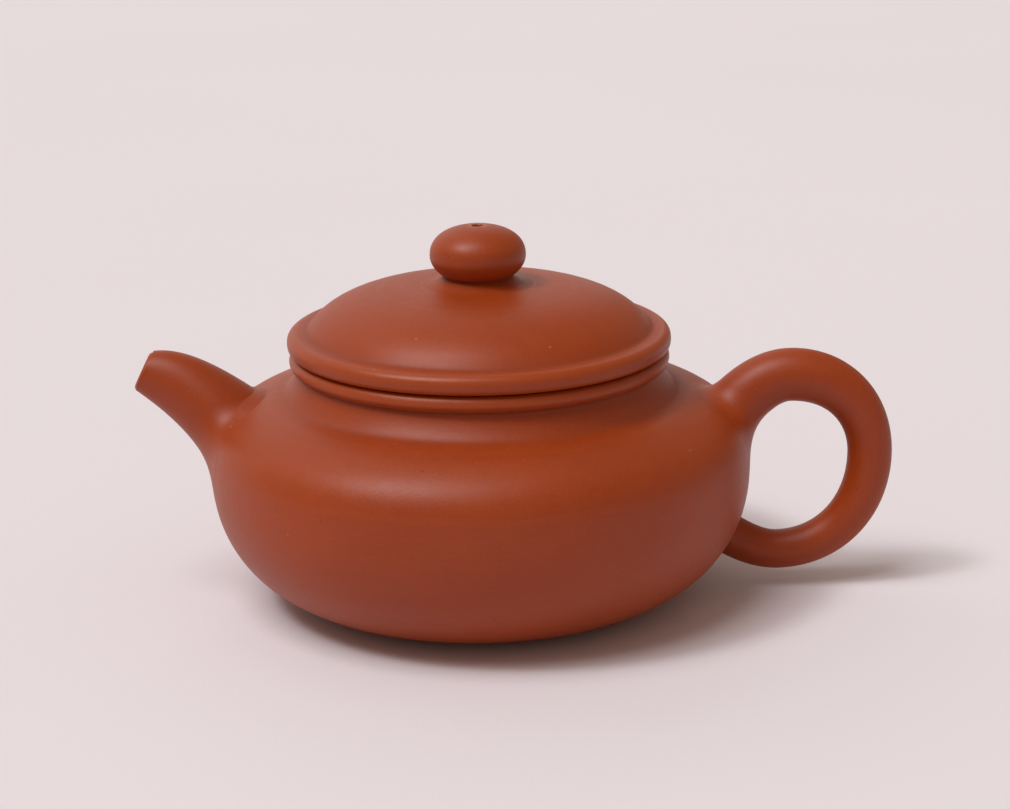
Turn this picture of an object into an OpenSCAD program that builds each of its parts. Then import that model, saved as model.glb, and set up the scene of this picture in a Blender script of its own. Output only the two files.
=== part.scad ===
// Squat round clay teapot with a short spout, a loop handle and a lift-off lid.
// The pot stands on z = 0 with its axis on +Z. The spout points to -X and the handle to +X.
// Every clay piece that the potter forms and lutes on is a module of its own.

/* [Belly] */
// Radius of the belly at its widest ring
belly_r = 53.4; // [50:0.2:66]
// Height of the widest ring above the table
belly_z = 26.6; // [22:0.2:34]
// Outer radius of the flat ring that the pot stands on
foot_r = 25; // [20:0.5:32]
// Width of the flat ring that the pot stands on
land_w = 4; // [2:0.5:8]
// Depth of the hollow pressed into the underside
base_hollow = 1.2; // [0.6:0.1:1.8]
// Fullness of the lower curve, where 2 is an ellipse
low_fullness = 2.17; // [2:0.01:2.6]
// Height of the shoulder's crown above the table
shoulder_z = 43.2; // [38:0.2:52]
// How far in from the widest ring the shoulder's curve runs
shoulder_run = 37; // [30:0.5:44]
// Fullness of the shoulder's curve, where 2 is an ellipse
top_fullness = 3; // [2:0.1:3.6]
// Thickness of the clay wall
wall = 3; // [2:0.1:3.6]
// Angle down the lower curve where the base disc is luted on
base_seam = 60; // [50:1:75]
// Angle up the shoulder's curve where the shoulder disc is luted on
shoulder_seam = 46; // [38:1:60]

/* [Mouth] */
// Inside radius of the mouth
mouth_r = 33; // [27:0.5:34]
// Thickness of the neck ring
neck_wall = 2.8; // [2:0.1:4]
// Height of the neck from the shoulder to the lip
neck_h = 4.4; // [3:0.1:8]
// Radius of the hollow curve between the neck and the shoulder
neck_fillet = 2; // [1:0.1:2.8]
// Height of the rounded lip
lip_h = 3.3; // [2.4:0.1:5]
// How far the lip stands out from the neck
lip_out = 1.6; // [1:0.1:3]

/* [Spout] */
// Distance from the belly's widest ring to the middle of the spout's tip
spout_reach = 13.2; // [10:0.2:20]
// How far the middle of the tip is below the top of the lip
spout_drop = 3.9; // [2:0.1:8]
// Diameter of the spout at its tip
spout_tip_d = 8.1; // [7.6:0.1:12]
// Angle of the spout's tip above level
spout_tip_angle = 26; // [10:1:40]
// Half the spread of the spout across the belly
spout_root_w = 12; // [10:0.5:14]
// Thickness of the spout's clay at the tip
spout_tip_wall = 1.6; // [1.2:0.1:2]
// Thickness of the spout's clay at its root
spout_root_wall = 2.6; // [2:0.1:3.4]
// Angle up the shoulder's curve where the spout's upper line lands
spout_high_angle = 52; // [44:1:56]
// Angle down the lower curve where the spout's under line lands
spout_low_angle = 22; // [14:1:26]
// Angle up the shoulder's curve of the middle of the pouring hole
spout_hole_angle = 16; // [12:1:22]
// Radius of the pouring hole through the belly
spout_hole_r = 6; // [4:0.2:6.4]

/* [Strainer] */
// How far the strainer's tube reaches into the pot before its round end
strainer_reach = 1.5; // [1:0.1:3]
// How far the strainer's mouth is set back from the belly's outer face
strainer_setback = 1.3; // [1:0.1:2]
// Thickness of the strainer's clay
strainer_wall = 1.4; // [1:0.1:2]
// Radius of each strainer hole
strainer_hole_r = 0.8; // [0.5:0.05:0.95]
// Number of rings of holes round the middle hole
strainer_rings = 2; // [1:1:2]
// Angle from one ring of holes to the next
strainer_pitch = 27; // [25:1:30]

/* [Handle] */
// Distance from the belly's widest ring to the handle's centre line at its furthest
handle_reach = 24.1; // [20:0.1:32]
// Distance from the belly's widest ring to the handle's highest point
handle_crest = 8.2; // [6:0.1:12]
// How far the centre line's highest point is below the top of the lip
handle_drop = 6.5; // [4:0.5:12]
// Height of the centre line's lowest point
handle_low_z = 7.2; // [6:0.2:12]
// How far the lowest point is nearer to the belly than the highest
handle_low_back = 2.6; // [0:0.1:5]
// How far the furthest point is above the middle of the loop
handle_far_rise = 1.9; // [0:0.1:4]
// Roundness of the loop's outer quarters, where 0.55 is a circle
handle_roundness = 0.58; // [0.5:0.01:0.64]
// Diameter of the handle at its crest
handle_crest_d = 10.5; // [8:0.1:12]
// Diameter of the handle at its furthest point
handle_side_d = 8.8; // [7:0.1:11]
// Diameter of the handle at its lowest point
handle_low_d = 7.8; // [7:0.1:11]
// Diameter of the upper end where it spreads on the shoulder
handle_high_end_d = 12.6; // [10:0.2:15]
// Diameter of the lower end where it meets the belly
handle_low_end_d = 8.8; // [7:0.2:12]
// Angle up the shoulder's curve of the handle's upper end
handle_high_angle = 28; // [24:1:38]
// Angle down the lower curve of the handle's lower end
handle_low_angle = 34; // [26:1:42]

/* [Lid] */
// Gap between the lid's rim and the lip it rests on
seat_gap = 0.1; // [0.05:0.05:0.3]
// Gap all round between the lid's flange and the mouth
flange_gap = 0.6; // [0.3:0.1:1]
// Depth of the flange below the rim
flange_h = 6.4; // [4:0.2:7.4]
// Thickness of the flange
flange_wall = 2.6; // [2:0.1:3.4]
// Height of the rounded rim
rim_h = 4.1; // [3:0.1:5]
// How far the rim stands out past the lip
rim_out = 0.3; // [0:0.1:2]
// Depth of the groove between the dome and the crest of the rim
groove_depth = 0.6; // [0.3:0.1:1]
// Width from the groove to the outer edge of the rim
rim_w = 3.9; // [3:0.1:5]
// Height of the dome above the groove
dome_h = 9.2; // [7:0.1:14]
// Flatness of the dome's crown, where 2 is round
dome_flatness = 3.4; // [2:0.1:4]
// Softness of the dome's edge, where 2 is round
dome_edge = 1.5; // [1.3:0.1:2]
// Thickness of the dome
dome_wall = 2.8; // [2:0.1:3.4]

/* [Knob] */
// Radius of the flattened ball
knob_r = 9.4; // [7:0.1:13]
// Height of the flattened ball from its middle to its top
knob_half_h = 5.9; // [5:0.1:8]
// Fullness of the ball, where 2 is an ellipse
knob_fullness = 2.27; // [2:0.01:2.6]
// How far below its middle the ball is cut flat to sit on the collar
knob_cut = 4.1; // [3:0.1:4.6]
// Radius of the collar where it spreads on the dome
collar_r = 11; // [10:0.1:15]
// Height of the collar above the dome's crown
collar_h = 1.6; // [1:0.1:4]
// Step at the collar's foot
collar_step = 0.15; // [0.05:0.05:0.4]
// Radius of the vent through the knob
vent_r = 1.05; // [0.6:0.05:1.5]

/* [Hidden] */
$fn = 96;
clay = [0.62, 0.30, 0.18];
dark_clay = [0.52, 0.23, 0.13];
// Degrees between two points on a turned curve, and points round the spout and the handle.
curve_step = 3;
loft_sides = 24;
spout_steps = 14;
handle_steps = 9;
// How far the handle's ends start inside the belly, and how far a cut runs past a face.
sink = 4;
past = 1;
// How far each end of the spout's side lines draws the line out towards the other end.
spout_top_pull = [[-5.8, 0.9], [8.8, 6]];
spout_under_pull = [[-6.4, -5], [0.9, 14.5]];
// How quickly the spout spreads from its tip to its root.
spout_spread = 1.4;
// How far each end of the handle's inner quarters draws its line out.
handle_high_pull = [[4, 5], [5.5, 0]];
handle_low_pull = [[4, 0], [4.6, -3.6]];
// Narrow ledge between the knob and the edge of the collar that it sits on.
knob_ledge = 0.3;
low_run = belly_r - foot_r;
top_run_z = shoulder_z - belly_z;

// A point and its outward direction on the lower curve, 0 at the widest ring and 90 at the foot.
function low_point(t) = [foot_r + low_run * pow(cos(t), 2 / low_fullness),
    belly_z * (1 - pow(sin(t), 2 / low_fullness))];
function low_normal(t) = unit([pow(cos(t), 2 - 2 / low_fullness) / low_run,
    -pow(sin(t), 2 - 2 / low_fullness) / belly_z]);
// The same on the shoulder's curve, 0 at the widest ring and rising towards the crown.
function top_point(t) = [belly_r - shoulder_run + shoulder_run * pow(cos(t), 2 / top_fullness),
    belly_z + top_run_z * pow(sin(t), 2 / top_fullness)];
function top_normal(t) = unit([pow(cos(t), 2 - 2 / top_fullness) / shoulder_run,
    pow(sin(t), 2 - 2 / top_fullness) / top_run_z]);
function unit(v) = v / norm(v);
// Both curves as one, with negative angles below the widest ring.
function belly_point(a) = a < 0 ? low_point(-a) : top_point(a);
function belly_normal(a) = a < 0 ? low_normal(-a) : top_normal(a);
function inside_point(a) = belly_point(a) - wall * belly_normal(a);
// Angles from one place on the profile to another, always with a stop at both ends.
function angles(from, to) = let(n = ceil(abs(to - from) / curve_step))
    [for (i = [0:n]) from + (to - from) * i / n];
// Angle and height of the shoulder's curve at a radius.
function shoulder_angle(r) = acos(pow((r - belly_r + shoulder_run) / shoulder_run, top_fullness / 2));
function shoulder_height(r) = top_point(shoulder_angle(r))[1];
function bezier(p, t) = pow(1 - t, 3) * p[0] + 3 * t * pow(1 - t, 2) * p[1]
    + 3 * t * t * (1 - t) * p[2] + t * t * t * p[3];
function bezier_way(p, t) = unit(pow(1 - t, 2) * (p[1] - p[0]) + 2 * t * (1 - t) * (p[2] - p[1])
    + t * t * (p[3] - p[2]));

neck_r = mouth_r + neck_wall;
lip_r = neck_r + lip_out;
mouth_angle = shoulder_angle(mouth_r);
lip_bottom = shoulder_height(neck_r) + neck_h;
lip_top = lip_bottom + lip_h;
rim_bottom = lip_top + seat_gap;
rim_r = lip_r + rim_out;
groove_r = rim_r - rim_w;
groove_z = rim_bottom + rim_h - groove_depth;
flange_r = mouth_r - flange_gap;
flange_in = flange_r - flange_wall;
dome_top = groove_z + dome_h;
knob_seat = dome_top + collar_h;
knob_z = knob_seat + knob_cut;
land_in = foot_r - land_w;
strainer_depth = wall + strainer_reach;

// Stops up the profile for each piece of the belly.
base_stops = angles(-90, -base_seam);
wall_stops = concat(angles(-base_seam, 0), angles(0, shoulder_seam));
shoulder_stops = angles(shoulder_seam, mouth_angle);
// Outline of the whole belly from the foot to the mouth, closed on the axis.
belly_outline = concat([for (a = concat(base_stops, wall_stops, shoulder_stops)) belly_point(a)],
    [[0, shoulder_height(mouth_r)], [0, 0]]);
// Outline of the dome, and of the same dome drawn in by the clay's thickness.
function dome_curve(inset) = [for (a = angles(0, 90))
    [(groove_r - inset) * pow(sin(a), 2 / dome_flatness),
        groove_z + (dome_h - inset) * pow(cos(a), 2 / dome_edge)]];
function dome_height(r) = groove_z
    + dome_h * pow(1 - pow(r / groove_r, dome_flatness), 1 / dome_edge);

// Part of the belly's shell between the first and the last of some angles on its profile.
module belly_band(stops) {
    last = len(stops) - 1;
    rotate_extrude()
        polygon(concat([for (a = stops) belly_point(a)],
            [for (i = [last:-1:0]) inside_point(stops[i])]));
}

module belly_solid() {
    rotate_extrude()
        polygon(belly_outline);
}

// Flat base, pressed hollow underneath so that only its outer ring stands on the table.
module base_disc() {
    dish_r = (land_in * land_in + base_hollow * base_hollow) / (2 * base_hollow);
    color(clay)
        difference() {
            rotate_extrude()
                polygon(concat([[0, 0]], [for (a = base_stops) belly_point(a)],
                    [for (a = angles(-base_seam, -90)) inside_point(a)],
                    [[land_in, wall + base_hollow], [0, wall + base_hollow]]));
            translate([0, 0, base_hollow - dish_r])
                sphere(r = dish_r);
        }
}

// Belt of clay paddled round, with the pouring hole through it.
module belly_wall() {
    color(clay)
        difference() {
            belly_band(wall_stops);
            pouring_hole();
        }
}

module shoulder_disc() {
    color(clay)
        difference() {
            belly_band(shoulder_stops);
            translate([0, 0, shoulder_z - 2 * wall])
                cylinder(r = mouth_r, h = 4 * wall);
        }
}

// Short upright neck with a hollow curve down onto the shoulder.
module neck_ring() {
    spread_r = neck_r + neck_fillet;
    curve = [for (a = [0:10:90]) let(r = neck_r + neck_fillet * (1 - cos(a)))
        [r, shoulder_height(r) + neck_fillet * (1 - sin(a))]];
    color(clay)
        rotate_extrude()
            difference() {
                polygon(concat([[mouth_r, lip_bottom], [neck_r, lip_bottom]], curve,
                    [[spread_r, belly_z], [mouth_r, belly_z]]));
                polygon(belly_outline);
            }
}

// Rounded lip round the mouth, flat on top for the lid.
module mouth_lip() {
    color(clay)
        rotate_extrude() {
            translate([mouth_r, lip_bottom])
                square([lip_r - lip_h / 2 - mouth_r, lip_h]);
            intersection() {
                translate([lip_r - lip_h / 2, lip_bottom + lip_h / 2])
                    circle(d = lip_h);
                translate([lip_r - lip_h / 2, lip_bottom])
                    square([lip_h, lip_h]);
            }
        }
}

// Places a shape at the pouring hole, with +Z pointing out through the wall.
module at_pouring_hole(point) {
    way = belly_normal(spout_hole_angle);
    translate([-point[0], 0, point[1]])
        rotate([0, -atan2(way[0], way[1]), 0])
            children();
}

module pouring_hole() {
    at_pouring_hole(belly_point(spout_hole_angle))
        translate([0, 0, -2 * wall])
            cylinder(r = spout_hole_r, h = 4 * wall);
}

// Upper and under lines of the spout, seen from the side, from the tip to the belly.
spout_tip = [belly_r + spout_reach, lip_top - spout_drop];
spout_up = [-sin(spout_tip_angle), cos(spout_tip_angle)];
spout_back = [-cos(spout_tip_angle), -sin(spout_tip_angle)];
spout_high = belly_point(spout_high_angle);
spout_low = belly_point(-spout_low_angle);
spout_top_line = let(tip = spout_tip + spout_up * spout_tip_d / 2)
    [tip, tip + spout_top_pull[0], spout_high + spout_top_pull[1], spout_high - [past, past]];
spout_under_line = let(tip = spout_tip - spout_up * spout_tip_d / 2)
    [tip, tip + spout_under_pull[0], spout_low + spout_under_pull[1], spout_low - [past, past]];
// Share of the spread that the spout has reached at a place between its tip and its root.
function spout_half_w(t) = spout_tip_d / 2 + (spout_root_w - spout_tip_d / 2) * pow(t, spout_spread);
function spout_wall(t) = spout_tip_wall + (spout_root_wall - spout_tip_wall) * t;
// One oval ring of the spout, drawn in by a share of the wall and moved along the spout.
function spout_ring(t, inset, shift) = let(
    high = bezier(spout_top_line, t),
    low = bezier(spout_under_line, t),
    mid = (high + low) / 2 + shift,
    up = (high - low) / 2 * (1 - inset * spout_wall(t) / (norm(high - low) / 2)),
    w = spout_half_w(t) - inset * spout_wall(t))
    [for (i = [0:loft_sides - 1]) let(q = 360 * i / loft_sides)
        [-(mid[0] + up[0] * cos(q)), w * sin(q), mid[1] + up[1] * cos(q)]];

// Closed skin through a list of rings, which have the same number of points.
module loft(rings) {
    n = len(rings[0]);
    last = len(rings) - 1;
    sides = [for (k = [0:last - 1], i = [0:n - 1]) each [
        [k * n + i, k * n + (i + 1) % n, (k + 1) * n + i],
        [k * n + (i + 1) % n, (k + 1) * n + (i + 1) % n, (k + 1) * n + i]]];
    polyhedron(points = [for (ring = rings) each ring],
        faces = concat(sides, [[for (i = [n - 1:-1:0]) i]], [[for (i = [0:n - 1]) last * n + i]]));
}

module spout() {
    steps = [for (i = [0:spout_steps]) i / spout_steps];
    color(clay)
        difference() {
            loft([for (t = steps) spout_ring(t, 0, [0, 0])]);
            loft(concat([spout_ring(0, 1, -spout_back)], [for (t = steps) spout_ring(t, 1, [0, 0])],
                [spout_ring(1, 1, [-2 * past, 0])]));
            belly_solid();
        }
}

// Pierced thimble that plugs the pouring hole from inside and keeps the leaves out of the spout.
module spout_strainer() {
    color(dark_clay)
        at_pouring_hole(belly_point(spout_hole_angle))
            difference() {
                rotate_extrude()
                    difference() {
                        thimble_outline(spout_hole_r);
                        thimble_outline(spout_hole_r - strainer_wall);
                    }
                for (ring = [0:strainer_rings], i = [0:max(0, 6 * ring - 1)])
                    translate([0, 0, -strainer_depth])
                        rotate([0, 180 - strainer_pitch * ring, i * 360 / max(1, 6 * ring)])
                            translate([0, 0, spout_hole_r - strainer_wall - past / 2])
                                cylinder(r = strainer_hole_r, h = strainer_wall + past, $fn = 24);
            }
}

// Half section of a tube with a round end, which points into the pot.
module thimble_outline(r) {
    translate([0, -strainer_depth])
        intersection() {
            circle(r = r);
            translate([0, -r])
                square([r, r]);
        }
    translate([0, -strainer_depth])
        square([r, strainer_depth - strainer_setback]);
}

// Centre line of the handle from its upper end to its lower end, with the thickness at each stop.
handle_top_z = lip_top - handle_drop;
handle_far = [belly_r + handle_reach, (handle_top_z + handle_low_z) / 2 + handle_far_rise];
handle_crest_at = [belly_r + handle_crest, handle_top_z];
handle_low_at = [belly_r + handle_crest - handle_low_back, handle_low_z];
handle_start = belly_point(handle_high_angle) - sink * belly_normal(handle_high_angle);
handle_end = belly_point(-handle_low_angle) - sink * belly_normal(-handle_low_angle);
handle_curves = [
    [handle_start, handle_start + handle_high_pull[0], handle_crest_at - handle_high_pull[1],
        handle_crest_at],
    [handle_crest_at, handle_crest_at + [handle_roundness * (handle_far[0] - handle_crest_at[0]), 0],
        handle_far + [0, handle_roundness * (handle_top_z - handle_far[1])], handle_far],
    [handle_far, handle_far - [0, handle_roundness * (handle_far[1] - handle_low_z)],
        handle_low_at + [handle_roundness * (handle_far[0] - handle_low_at[0]), 0], handle_low_at],
    [handle_low_at, handle_low_at - handle_low_pull[0], handle_end + handle_low_pull[1],
        handle_end]];
handle_d = [handle_high_end_d, handle_crest_d, handle_side_d, handle_low_d, handle_low_end_d];
function ease(t) = t * t * (3 - 2 * t);
function handle_ring(k, t) = let(
    mid = bezier(handle_curves[k], t),
    way = bezier_way(handle_curves[k], t),
    r = (handle_d[k] + (handle_d[k + 1] - handle_d[k]) * ease(t)) / 2)
    [for (i = [0:loft_sides - 1]) let(q = 360 * i / loft_sides)
        [mid[0] - way[1] * r * cos(q), r * sin(q), mid[1] + way[0] * r * cos(q)]];

module handle() {
    color(clay)
        difference() {
            loft(concat([for (k = [0:3], i = [0:handle_steps - 1]) handle_ring(k, i / handle_steps)],
                [handle_ring(3, 1)]));
            belly_solid();
        }
}

// Domed top of the lid, hollow underneath, with the vent through its crown.
module lid_dome() {
    color(clay)
        difference() {
            rotate_extrude()
                difference() {
                    polygon(concat(dome_curve(0), [[0, groove_z]]));
                    polygon(concat(dome_curve(dome_wall), [[groove_r - dome_wall, groove_z - past],
                        [0, groove_z - past]]));
                }
            vent();
        }
}

// Flat ring with a rounded outer edge, which rests on the lip.
module lid_rim() {
    color(clay)
        rotate_extrude() {
            translate([flange_in, rim_bottom])
                square([rim_r - rim_h / 2 - flange_in, groove_z - rim_bottom]);
            intersection() {
                translate([rim_r - rim_h / 2, rim_bottom + rim_h / 2])
                    circle(d = rim_h);
                translate([groove_r, rim_bottom])
                    square([rim_w, rim_h]);
            }
        }
}

// Upright ring under the rim that drops into the mouth and keeps the lid in place.
module lid_flange() {
    color(dark_clay)
        translate([0, 0, rim_bottom - flange_h])
            difference() {
                cylinder(r = flange_r, h = flange_h);
                translate([0, 0, -past])
                    cylinder(r = flange_in, h = flange_h + 2 * past);
            }
}

module vent() {
    translate([0, 0, groove_z])
        cylinder(r = vent_r, h = 3 * (dome_h + knob_half_h), $fn = 32);
}

// Low spreading collar between the dome and the knob.
module knob_collar() {
    top_r = knob_section(knob_cut) + knob_ledge;
    foot_z = dome_height(collar_r) + collar_step;
    curve = [for (s = [0:0.1:1])
        [collar_r + (top_r - collar_r) * s, foot_z + (knob_seat - foot_z) * s * s]];
    color(clay)
        difference() {
            rotate_extrude()
                difference() {
                    polygon(concat([[0, foot_z - past], [collar_r, foot_z - past]], curve,
                        [[0, knob_seat]]));
                    polygon(concat(dome_curve(0), [[0, groove_z]]));
                }
            vent();
        }
}

// Radius of the flattened ball at a height from its middle.
function knob_section(z) = knob_r * pow(1 - pow(z / knob_half_h, knob_fullness), 1 / knob_fullness);
knob_cut_angle = asin(pow(knob_cut / knob_half_h, knob_fullness / 2));

module knob() {
    upper = [for (a = angles(0, 90)) [knob_r * pow(cos(a), 2 / knob_fullness),
        knob_z + knob_half_h * pow(sin(a), 2 / knob_fullness)]];
    lower = [for (a = angles(knob_cut_angle, 0)) [knob_r * pow(cos(a), 2 / knob_fullness),
        knob_z - knob_half_h * pow(sin(a), 2 / knob_fullness)]];
    color(clay)
        difference() {
            rotate_extrude()
                polygon(concat([[0, knob_seat]], lower, [for (i = [1:len(upper) - 1]) upper[i]]));
            vent();
        }
}

base_disc();
belly_wall();
shoulder_disc();
neck_ring();
mouth_lip();
spout();
spout_strainer();
handle();
lid_dome();
lid_rim();
lid_flange();
knob_collar();
knob();
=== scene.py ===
# %% [markdown]
# # A squat teapot of unglazed red clay
# The real pot is built by hand from slabs of very fine clay: a paddled belly, a short spout and a
# loop handle luted on, and a lift-off lid with a flattened ball for a knob. It is never glazed,
# so all its charm is in soft turned curves and a satin skin. This lesson starts from the packed
# CAD part, which fixes the sizes and the two bodies: "pot", which stands, and "lid", which lifts
# off.

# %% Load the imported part
from math import acos, copysign, cos, degrees, hypot, pi, radians, sin, sqrt

import bmesh
import bpy
import numpy as np
from mathutils import Matrix, Vector


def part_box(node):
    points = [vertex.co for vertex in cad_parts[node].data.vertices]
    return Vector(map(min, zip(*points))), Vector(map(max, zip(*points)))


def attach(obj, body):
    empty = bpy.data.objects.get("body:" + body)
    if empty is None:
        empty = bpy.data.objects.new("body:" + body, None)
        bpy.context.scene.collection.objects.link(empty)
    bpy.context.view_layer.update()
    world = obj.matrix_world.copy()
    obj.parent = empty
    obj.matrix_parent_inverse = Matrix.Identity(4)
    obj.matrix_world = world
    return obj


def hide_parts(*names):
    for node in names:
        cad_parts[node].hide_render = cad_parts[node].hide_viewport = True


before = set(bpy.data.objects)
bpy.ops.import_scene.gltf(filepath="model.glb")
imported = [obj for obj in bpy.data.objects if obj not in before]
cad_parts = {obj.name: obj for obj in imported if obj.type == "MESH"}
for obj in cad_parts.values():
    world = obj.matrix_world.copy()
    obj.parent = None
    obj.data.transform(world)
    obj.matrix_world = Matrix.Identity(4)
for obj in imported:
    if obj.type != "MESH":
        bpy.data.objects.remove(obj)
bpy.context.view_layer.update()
MM = 0.001

# %% [markdown]
# ## Sizes
# Most radii and heights are read from the boxes of the CAD nodes, so the clay always lands where
# the CAD part says. Only the numbers that a box can't show, such as where the belly is widest,
# are written here. All lengths are in millimetres until a mesh is made.

# %% Sizes from the CAD nodes
def corners(node):
    """The low and the high corner of a CAD node, in millimetres."""
    return [[c / MM for c in corner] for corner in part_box(node)]


belly_r, collar_r = corners("belly_wall")[1][0], corners("knob_collar")[1][0]
(_, _, lip_bottom), (lip_r, _, lip_top) = corners("mouth_lip")
(_, _, rim_bottom), (rim_r, _, rim_top) = corners("lid_rim")
(_, _, groove_z), (groove_r, _, dome_top) = corners("lid_dome")
(_, _, flange_low), (flange_r, _, _) = corners("lid_flange")
(_, _, knob_seat), (knob_r, _, knob_top) = corners("knob")
wall, mouth_r, foot_r, vent_r = 3.0, 33.0, 25.0, 1.05
belly_z, shoulder_z, shoulder_run = 26.6, 43.2, 37.0
print(f"belly {2 * belly_r:.1f} mm wide, lip at {lip_top:.2f} mm, knob top at {knob_top:.2f} mm")

# %% [markdown]
# ## The camera
# The pot is seen from the front, with the spout to the left, from a little above the table. A
# long lens from half a metre keeps the ellipses of the mouth and the foot close to each other.
# The camera is tipped by less than a degree, as a hand-held one is.

# %% Camera
CAMERA_AIM = Vector((4.93, 0, 38.1)) * MM
CAMERA_RISE = radians(16.0)
CAMERA_TIP = radians(-0.74)
CAMERA_DISTANCE = 500 * MM


def placed(name, data):
    """A new object made of this data, in the scene."""
    made = bpy.data.objects.new(name, data)
    bpy.context.scene.collection.objects.link(made)
    return made


camera = placed("camera", bpy.data.cameras.new("camera"))
back = Vector((0, -cos(CAMERA_RISE), sin(CAMERA_RISE)))
camera.matrix_world = (Matrix.Translation(CAMERA_AIM + back * CAMERA_DISTANCE)
                       @ back.to_track_quat("Z", "Y").to_matrix().to_4x4()
                       @ Matrix.Rotation(CAMERA_TIP, 4, "Z"))
camera.data.sensor_width = 36
camera.data.lens = 89.9
camera.data.clip_start, camera.data.clip_end = 0.01, 20
bpy.context.scene.camera = camera
print("camera at", [round(c, 3) for c in camera.matrix_world.translation])

# %% [markdown]
# ## Writing node maths as plain sums
# Node trees get long when every sum is a node made by hand. A small class holds one socket and
# turns + - * / into Math nodes, so a finish reads like a recipe. Every other node comes from one
# method that takes its type, its settings and what goes into its sockets.

# %% Wires and the bench
class Wire:
    """One output socket that can be used in sums."""

    def __init__(self, bench, socket):
        self.bench, self.socket = bench, socket

    def maths(self, operation, first, second=None):
        sockets = {0: first} if second is None else {0: first, 1: second}
        return self.bench.node("ShaderNodeMath", {"operation": operation}, sockets)

    def __add__(self, other):
        return self.maths("ADD", self, other)

    def __sub__(self, other):
        return self.maths("SUBTRACT", self, other)

    def __rsub__(self, other):
        return self.maths("SUBTRACT", other, self)

    def __mul__(self, other):
        return self.maths("MULTIPLY", self, other)

    def __truediv__(self, other):
        return self.maths("DIVIDE", self, other)

    def __neg__(self):
        return self.maths("MULTIPLY", self, -1.0)

    def above(self, limit):
        return self.maths("GREATER_THAN", self, limit)

    def at_least(self, limit):
        return self.maths("MAXIMUM", self, limit)

    def of(self, operation):
        """One of the Math node's functions, such as SINE, of this value."""
        return self.maths(operation, self)

    __radd__ = __add__
    __rmul__ = __mul__


class Bench:
    """A node tree, with one way to put any node on it."""

    def __init__(self, tree):
        self.tree = tree

    def node(self, kind, settings=(), sockets=(), out=0):
        made = self.tree.nodes.new(kind)
        for name, value in dict(settings).items():
            setattr(made, name, value)
        for name, value in dict(sockets).items():
            if isinstance(value, Wire):
                self.tree.links.new(value.socket, made.inputs[name])
            else:
                made.inputs[name].default_value = value
        return Wire(self, made.outputs[out])

    def end(self, kind, name, wire):
        """The tree's last node, which has nothing to give on."""
        self.tree.links.new(wire.socket, self.tree.nodes.new(kind).inputs[name])


def also(wire, out):
    """Another output of the node that a wire comes from."""
    return Wire(wire.bench, wire.socket.node.outputs[out])


print("sums that a wire can do: + - * / and any Math node by name")

# %% [markdown]
# ## Patterns in the clay
# Fired red clay looks plain from afar and busy up close. Fine grit shows as pale and dark specks,
# its colour drifts in soft clouds, and the shaping tools leave faint rings on turned parts.
# Painted maps would need unwrapping and would show a join at every luted root. Patterns worked
# out from the place on the pot, in millimetres, run from piece to piece without one.

# %% Grit, clouds and rings
RUBBED_FROM, RUBBED_BY = 34.0, 48.0
RING_SWING, SWING_SIZE, RING_SLOPE = 1.2, 22.0, 0.9


def grit(bench, place, spacing, grain, density, seed):
    """1 on round grains of this radius, in a share of the cells of this spacing, 0 elsewhere."""
    cells = bench.node("ShaderNodeTexVoronoi", {"voronoi_dimensions": "3D", "feature": "F1"},
                       {"Vector": place, "Scale": 1 / spacing, "Randomness": 1.0}, "Distance")
    chosen = bench.node("ShaderNodeTexWhiteNoise", {"noise_dimensions": "4D"},
                        {"Vector": also(cells, "Color"), "W": seed}, "Value").above(1 - density)
    return faded(bench, cells, 0.6 * grain / spacing, grain / spacing) * chosen


def faded(bench, value, full, gone):
    """1 up to one limit, sinking to 0 at another."""
    return bench.node("ShaderNodeMapRange", {"clamp": True},
                      {"Value": value, "From Min": full, "From Max": gone,
                       "To Min": 1.0, "To Max": 0.0})


def cloud(bench, place, size, detail=2.0, rough=0.5):
    """Soft noise from 0 to 1 with patches of about this size."""
    return bench.node("ShaderNodeTexNoise", {"noise_dimensions": "3D"},
                      {"Vector": place, "Scale": 1 / size, "Detail": detail, "Roughness": rough})


def rings(bench, place, size):
    """Noise in rings round the pot, which fade where hands rub round the spout and the handle."""
    x = bench.node("ShaderNodeSeparateXYZ", (), {0: place}, "X")
    y, z = also(x, "Y"), also(x, "Z")
    radius = (x * x + y * y).of("SQRT")
    swing = cloud(bench, place, SWING_SIZE) * RING_SWING
    lines = bench.node("ShaderNodeTexNoise", {"noise_dimensions": "1D"},
                       {"W": (radius * RING_SLOPE + z + swing) / size, "Scale": 1.0, "Detail": 3.0,
                        "Roughness": 0.6})
    return (lines - 0.5) * faded(bench, x.of("ABSOLUTE"), RUBBED_FROM, RUBBED_BY)


def blend(bench, amount, first, second):
    """Mixes two colours."""
    return bench.node("ShaderNodeMix", {"data_type": "RGBA", "clamp_factor": True},
                      {0: amount, 6: first, 7: second}, 2)


print("patterns: grit, clouds and rings")

# %% [markdown]
# ## The clay as a material
# The colour starts as a drift between two reds and takes on the patterns one by one. Each pattern
# also moves the roughness or the height a little, because a speck that only changes the colour
# looks printed. Edges are painted lighter, partly as wear from hands and partly as a painted
# highlight, and made smoother; hollows are made duller and painted darker, as painted shade. The
# meshes carry how sharply the clay bends as a value called edge. Outside, hands and tea give a
# satin sheen. Inside, the clay is left rough from the tools.

# %% The clay outside and inside
def new_finish(name):
    """An empty material, and the bench for its nodes."""
    material = bpy.data.materials.new(name)
    material.use_nodes = True
    material.node_tree.nodes.clear()
    return material, Bench(material.node_tree)


def colour(red, green, blue):
    return (red, green, blue, 1.0)


def darker(shade, share):
    return colour(*(c * share for c in shade[:3]))


DRIFT_SIZE, MOTTLE_SIZE, FINE_SIZE, RING_WIDTH, UNEVEN_SIZE = 26.0, 3.2, 0.42, 1.1, 34.0
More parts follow.
